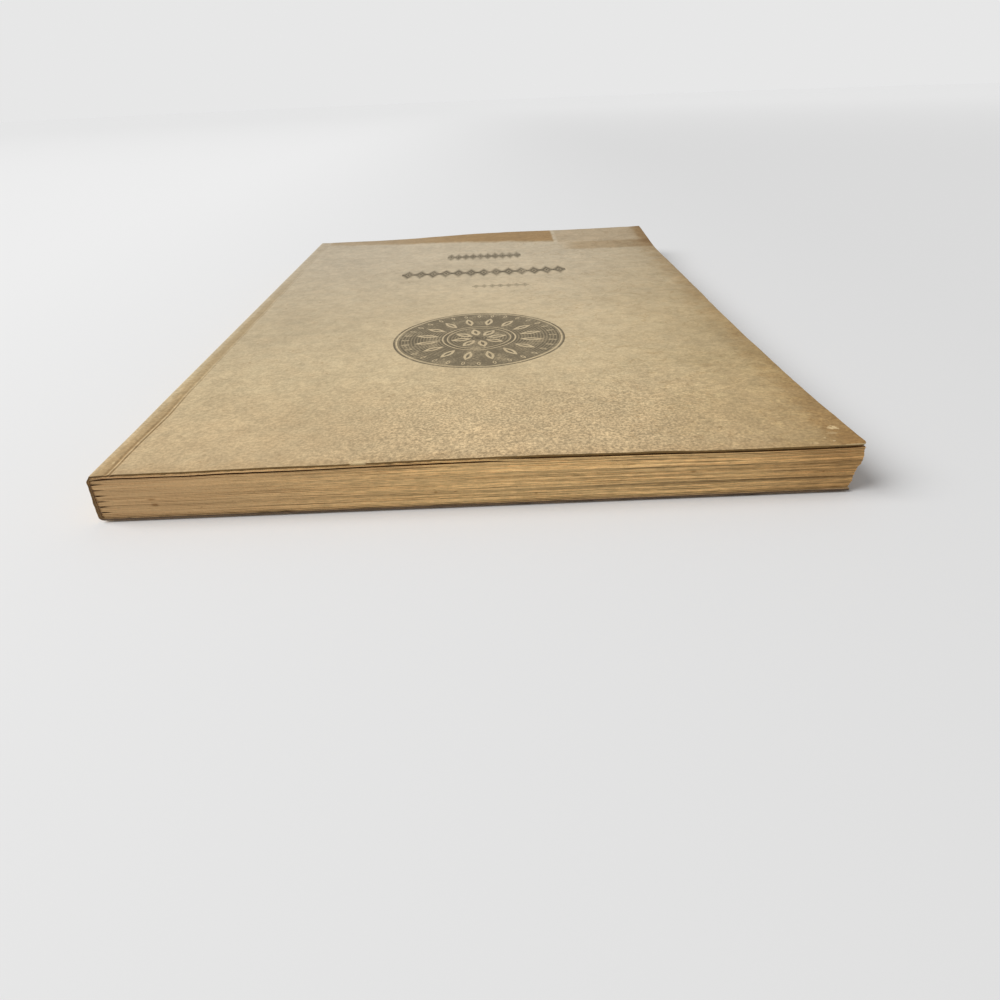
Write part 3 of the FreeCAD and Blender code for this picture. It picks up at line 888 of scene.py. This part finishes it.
def front_points():
    """The outer and inner faces of the front cover, and where they meet the spine's."""
    grooves = CREASE + np.arange(0.1, 1.5, 0.12)
    xs = spread(CREASE, FRONT_EDGE, FRONT_STEPS[0], FINE_EDGE, grooves)
    ys = spread(TAIL, HEAD, FRONT_STEPS[1], FINE_EDGE)
    x, y = np.meshgrid(xs, ys, indexing="ij")
    corner = np.hypot(FRONT_EDGE - x, y - TAIL)
    raised = lift(x, y) + CORNER_TURN * np.maximum(0, 1 - corner / CORNER_TURN_REACH) ** 2
    from_edge = np.minimum(FRONT_EDGE - x, np.minimum(y - TAIL, HEAD - y))
    top = SPINE_TOP + raised + relief(x, y) - rounding(from_edge, EDGE_ROUND, EDGE_DROP)
    bottom = COVER_UNDERSIDE + raised + 0.6 * (relief(x, y) * ease((x - CREASE) / 3))
    top = top - 0.10 * np.maximum(0, 1 - corner / 1.5)

    edge_x = np.where(x >= FRONT_EDGE - HAIR, -EDGE_INSET, 0.0)
    rounded = 0.22 * np.maximum(0, 1 - corner / 1.2) ** 1.5
    stand = follow(FORE_EDGE, y, FORE_EDGE_SOFTEN) * ease(1 - (FRONT_EDGE - x) / 25)
    x_moved = x + edge_x - rounded + stand
    y_moved = y + drawn_in(y) + rounded
    outer = np.stack([x_moved, y_moved, top], -1)
    inner = np.stack([x_moved, y_moved, bottom], -1)
    return outer, inner, x <= CREASE + HAIR


def back_points():
    """The inner and outer faces of the back cover, flat on the table, and where they meet the spine's."""
    xs = spread(CREASE, BACK_EDGE, BACK_STEPS[0], FINE_EDGE)
    ys = spread(TAIL, HEAD, BACK_STEPS[1], FINE_EDGE)
    x, y = np.meshgrid(xs, ys, indexing="ij")
    from_edge = np.minimum(BACK_EDGE - x, np.minimum(y - TAIL, HEAD - y))
    low = rounding(from_edge, EDGE_ROUND, EDGE_DROP)
    high = CARD - 0.03 * (1 + ripple(x, y, 20.0, seed=75)) / 2 * ease((x - CREASE) / 3)
    x_moved = x - np.where(x >= BACK_EDGE - HAIR, EDGE_INSET, 0.0)
    y_moved = y + drawn_in(y)
    outer = np.stack([x_moved, y_moved, low], -1)
    inner = np.stack([x_moved, y_moved, high], -1)
    return inner, outer, x <= CREASE + HAIR


def spine_outline():
    """The wrapper's outline about its spine, from the front crease round to the back one.

    Each row is x, z, the direction out of the card, and how far its squarer corner stands out from a circle.
    """
    rows = []
    strip = SPINE_FACE + CORNER_RADIUS
    stations = np.concatenate([np.linspace(strip, CREASE - 2.0, 6), np.arange(CREASE - 1.9, CREASE, 0.12)])
    stations = np.unique(stations)
    for x in [CREASE, *stations[::-1]]:
        rows.append((x, SPINE_TOP, 0.0, 1.0, 0.0, 0.0))

    def corner(low, high, centre, power):
        for turn in np.linspace(low, high, 9)[1:]:
            out = np.array((-math.sin(turn), math.cos(turn)))
            square = CORNER_RADIUS * (np.sign(out) * np.abs(out) ** (2 / power) - out)
            rows.append((strip + CORNER_RADIUS * out[0], centre + CORNER_RADIUS * out[1], *out, *square))

    corner(0, math.pi / 2, SPINE_TOP - CORNER_RADIUS, UPPER_SQUARE)
    for z in np.linspace(SPINE_TOP - CORNER_RADIUS, CORNER_RADIUS, 49)[1:]:
        rows.append((SPINE_FACE, z, -1.0, 0.0, 0.0, 0.0))
    corner(math.pi / 2, math.pi, CORNER_RADIUS, LOWER_SQUARE)
    for x in np.linspace(strip, CREASE, 7)[1:]:
        rows.append((x, 0.0, 0.0, -1.0, 0.0, 0.0))
    return np.array(rows)


def spine_points():
    """The outer and inner faces of the wrapper's middle, from the back crease round to the front one.

    They are pressed a little into the valleys between the folds.
    """
    outline = spine_outline()
    ys = spread(TAIL, HEAD, SPINE_STEP, FINE_EDGE)
    x, z, out_x, out_z, square_x, square_z = (outline[:, k][:, None] + 0 * ys[None, :] for k in range(6))
    y = ys[None, :] + 0 * x
    on_face = ease(-out_x * 2 - 1)
    from_fold = (z - PAGES_BOTTOM) / SECTION % 1 - 0.5
    from_end = np.minimum(y - TAIL, HEAD - y)
    valley = 0.09 * np.abs(2 * from_fold) ** 2 * (0.75 + 0.25 * ripple(y, z, 30.0, seed=76))
    valley = valley * ease(from_end / 6)
    crushed = 0.05 * ease(1 - from_end / 2.5) * ripple(y * 0.6, z * 2, 4.0, seed=77)
    uneven = 0.03 * ripple(y, z * 4, 14.0, seed=78)
    bow = follow(SPINE_BOW, z, 0.5) * ease(1 - (y - TAIL) / SPINE_BOW_REACH) * ease(-1.5 * out_x)
    depth = on_face * (valley + crushed + np.maximum(0, uneven))
    depth = depth + rounding(from_end, EDGE_ROUND, EDGE_DROP)
    upper = np.maximum(0, out_z)
    raised = upper * lift(x, y)
    inset = drawn_in(y)
    height = z + square_z - out_z * depth + raised + np.where(upper > 0.99, relief(x, y), 0.0)
    outer = np.stack([x + square_x - out_x * depth - bow, y + inset, height], -1)
    inner = np.stack([x - out_x * (CARD + 0.02) - 0.6 * bow, y + inset, z - out_z * CARD + raised], -1)
    butted = x >= CREASE - HAIR
    return outer[::-1], inner[::-1], butted[::-1]


WRAPPER = [COVER_FACE, COVER_INSIDE, CUT_EDGE]
WRAPPER_BACK = [COVER_INSIDE, COVER_BACK, CUT_EDGE]

front_sheet = card_piece("front_sheet", *front_points(), WRAPPER, "front_cover")
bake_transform(front_sheet)

back_sheet = card_piece("back_sheet", *back_points(), WRAPPER_BACK, "back_cover")
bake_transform(back_sheet)

spine_wrap = card_piece("spine_wrap", *spine_points(), WRAPPER, "cover_spine")
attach(spine_wrap, "book_block")


# The pages

FLY_LEAVES = 3
FLY_GAP_END = 6.0


def leaf_rises(x, y):
    """How far each leaf rises under the lifted cover.

    Along half the tail the first leaves follow it closely.
    """
    raised = lift(x, y)
    clings = ease((FLY_GAP_END + 5 - x) / 10) * ease(1 - (y - PAGE_TAIL) / 40)
    fly = raised * clings + np.maximum(0, raised - LEAF_LAG) * (1 - clings)
    rest = np.maximum(0, raised - LEAF_LAG - 0.02 * clings)
    share = (np.arange(LEAVES) / (LEAVES - FLY_LEAVES)) ** 2.2
    rises = np.minimum(share, 1)[:, None] * rest
    rises[-FLY_LEAVES:] = fly + 0.06 * clings * ease(raised / 0.3)
    return rises


def fold_inset(height):
    """How far in from the fold's tip the paper lies, at a height in its section from 0 to 1."""
    return FOLD_RADIUS * (1 - np.sqrt(np.clip(1 - (2 * height - 1) ** 2, 0, 1)))


def page_points():
    """The block's stations along X and Y, its rim, and the rings round its leaves with the painted shade of
    their gaps and their tones.
    """
    fold_side = np.array([0, 0.25, 0.5, 0.8, 1.2, 1.7, 2.3, 3.0, 4.0])
    xs = np.unique(np.concatenate([fold_side, np.linspace(5, PAGE_EDGE - FOLD_TIP, 117)]))
    us = xs / xs[-1]
    ys = spread(PAGE_TAIL, PAGE_HEAD, PAGE_STEP, (0, 0.3, 1.0))
    index = np.arange(len(us) * len(ys)).reshape(len(us), len(ys))
    rim = rim_of(index)
    u, y = us[rim // len(ys)], ys[rim % len(ys)]
    x = FOLD_TIP + u * (PAGE_EDGE - FOLD_TIP)
    at_tail, at_head, at_fore = y <= PAGE_TAIL + HAIR, y >= PAGE_HEAD - HAIR, u >= 1 - HAIR
    free = at_tail | at_head | at_fore
    along = np.where(at_fore, y + 300, np.where(at_head, 600 - x, x))

    in_section = np.arange(LEAVES + 1) % LEAVES_A_SECTION
    between_sections = (in_section == 0)[:, None]
    wide = np.maximum(0, ripples(along, LEAVES + 1, 60.0, seed=81)) ** 2
    loose = 1 + 1.3 * ease((x - 10) / 50) * free
    lined = 0.2 + 0.8 * ease((x + 68) / 50)
    gap = ((0.014 + 0.038 * wide) * loose + np.where(between_sections, 0.030 + 0.03 * wide, 0)) * lined
    uneven = 0.30 + 0.14 * np.random.default_rng(87).random((LEAVES + 1, 1))
    notch = np.where(between_sections, uneven, 0.0) * ease(1 - (x - FOLD_TIP) / 3.2) ** 1.2
    gap = np.clip(gap + notch, 0.004, 0.115 + notch)
    depth = np.where(free, 0.03 + 0.07 * lined + 1.6 * gap + 2.5 * notch, 0.06)
    gap[[0, -1]] = 0.02

    group = ripples(along, SECTIONS, 90.0, seed=82).repeat(LEAVES_A_SECTION, 0)
    single = ripples(along, LEAVES, 40.0, seed=83)
    random = np.random.default_rng(84)
    stand = 0.09 * group + 0.035 * single + random.normal(0, 0.03, (LEAVES, 1))
    by_height = follow(LEAF_EDGE, PAGES_BOTTOM + LEAF * (np.arange(LEAVES) + 0.5), 0.4)[:, None]
    at_tail_end = ease(1 - (y - TAIL) / 40)
    cover = FRONT_EDGE - PAGE_EDGE + follow(FORE_EDGE, y, FORE_EDGE_SOFTEN)
    flush = cover - 0.35 + 0.30 * at_tail_end
    fore = flush + by_height * (0.55 + 0.45 * at_tail_end) + 0.7 * stand
    stand = np.where(at_fore & ~(at_tail | at_head), fore, np.clip(stand, -0.15, 0.10))
    stand[-FLY_LEAVES:] += np.where(at_tail, 0.08, 0.0)
    stand_x = np.where(at_fore, fore, 0.0)

    rises = leaf_rises(x, y)
    points, gap_shades, shades = [], [], []

    random = np.random.default_rng(85)
    own = random.normal(0, 0.20, (LEAVES + 2, 1))
    own = own[:-2] * 0.5 + own[1:-1] + own[2:] * 0.5
    tones = own + 0.10 * ripples(along, LEAVES, 30.0, seed=86)
    tones = 0.5 + tones * (0.25 + 0.75 * ease((x + 40) / 80))
    tones[-FLY_LEAVES:] += 0.45 * ease((14 - x) / 30)

    def ring(level, rise, out, out_x, tone):
        """One closed row of points, from its level in the unlifted pages, its rise, stand and tone."""
        section = np.clip((level - PAGES_BOTTOM) / SECTION, 0, SECTIONS)
        start = FOLD_TIP + fold_inset(section % 1)
        px = start + u * (PAGE_EDGE - start) + out_x
        py = y + np.where(at_tail, -out, 0) + np.where(at_head, out, 0)
        points.append(np.stack([px, py, level + rise], -1))
        shades.append(np.clip(tone, 0, 1))

    for leaf in range(LEAVES):
        low = PAGES_BOTTOM + leaf * LEAF + gap[leaf] / 2
        high = PAGES_BOTTOM + (leaf + 1) * LEAF - gap[leaf + 1] / 2
        if leaf:
            valley = PAGES_BOTTOM + leaf * LEAF
            middle = (rises[leaf] + rises[leaf - 1]) / 2
            opened = np.maximum(0, rises[leaf] - rises[leaf - 1])
            sunk = depth[leaf] + 6 * opened * free
            inner = np.minimum(stand[leaf], stand[leaf - 1]) - sunk
            inner_x = np.where(at_fore, np.minimum(stand_x[leaf], stand_x[leaf - 1]) - sunk, 0)
            ring(valley + 0 * x, middle, inner, inner_x, (tones[leaf] + tones[leaf - 1]) / 2)
            # The valley's painted shade, as strong as the gap is deep
            gap_shades.append(np.maximum(1, sunk / 0.25))
        for level in (low, high):
            ring(level, rises[leaf], stand[leaf], stand_x[leaf], tones[leaf])
            gap_shades.append(np.zeros(len(rim)))
    return us, ys, rim, points, gap_shades, shades


def page_block():
    """The pages: leaf upon leaf in folded sections, one closed mesh."""
    us, ys, rim, rings, gap_shades, shades = page_points()
    count = len(rim)
    points, faces = list(rings), []
    for k in range(len(rings) - 1):
        lower = np.arange(count) + k * count
        faces.append(band_faces(lower + count, lower))
    kinds = [0] * sum(len(f) for f in faces)
    for ring, level, below in ((0, PAGES_BOTTOM, True), (len(rings) - 1, PAGES_TOP, False)):
        cap_x = FOLD_TIP + FOLD_RADIUS + us * (PAGE_EDGE - FOLD_TIP - FOLD_RADIUS)
        x, y = np.meshgrid(cap_x, ys, indexing="ij")
        z = level + (0 * x if below else leaf_rises(x.ravel(), y.ravel())[-1].reshape(x.shape))
        swell = 0.03 * (ripple(x, y, 26.0, seed=85) - 1)
        grid = np.stack([x, y, z + (0 if below else swell)], -1)
        first = sum(len(p) for p in points)
        number = np.zeros(x.shape, dtype=int)
        number.reshape(-1)[rim] = np.arange(count) + ring * count
        inside = grid[1:-1, 1:-1].reshape(-1, 3)
        number[1:-1, 1:-1] = (np.arange(len(inside)) + first).reshape(x.shape[0] - 2, x.shape[1] - 2)
        points.append(inside)
        gap_shades.append(np.zeros(len(inside)))
        shades.append(np.full(len(inside), 0.5))
        cap = grid_faces(number)
        faces.append(cap[:, ::-1] if below else cap)
        kinds += [1] * len(cap)
    return make_piece(
        "page_block",
        np.concatenate(points),
        np.concatenate(faces).tolist(),
        [PAGE_EDGES, PAGE_FACE],
        kinds,
        "text_block",
        {"gap": np.concatenate(gap_shades), "tone": np.concatenate(shades)},
    )


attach(page_block(), "book_block")

for node, material in (("spine_glue", glue()), ("sewing_thread", thread())):
    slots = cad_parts[node].data.materials
    slots.clear()
    slots.append(material)


# The table


def table():
    """A plain pale table top, wide enough to reach the horizon, in soft shade to the right."""
    turns = np.linspace(0, 2 * math.pi, TABLE_CORNERS, endpoint=False)
    radius, height = TABLE_RADIUS * MM, TABLE_HEIGHT * MM
    points = [(radius * math.cos(t), radius * math.sin(t), height) for t in turns]
    mesh = bpy.data.meshes.new("table")
    mesh.from_pydata(points, [], [tuple(range(TABLE_CORNERS))])
    paint = Paint("table", 0.9, specular=0.1, cad_node=True)
    local = paint.blend(paint.fade(paint.x, *TABLE_SLOPE), (TABLE_LEFT,) * 3, (TABLE_RIGHT,) * 3)
    away = paint.fade(paint.vector("LENGTH", paint.place), *TABLE_FADE)
    paint.join(paint.shader.inputs["Base Color"], paint.blend(away, local, (TABLE_TONE,) * 3))
    mesh.materials.append(paint.material)
    made = bpy.data.objects.new("table", mesh)
    bpy.context.collection.objects.link(made)


table()
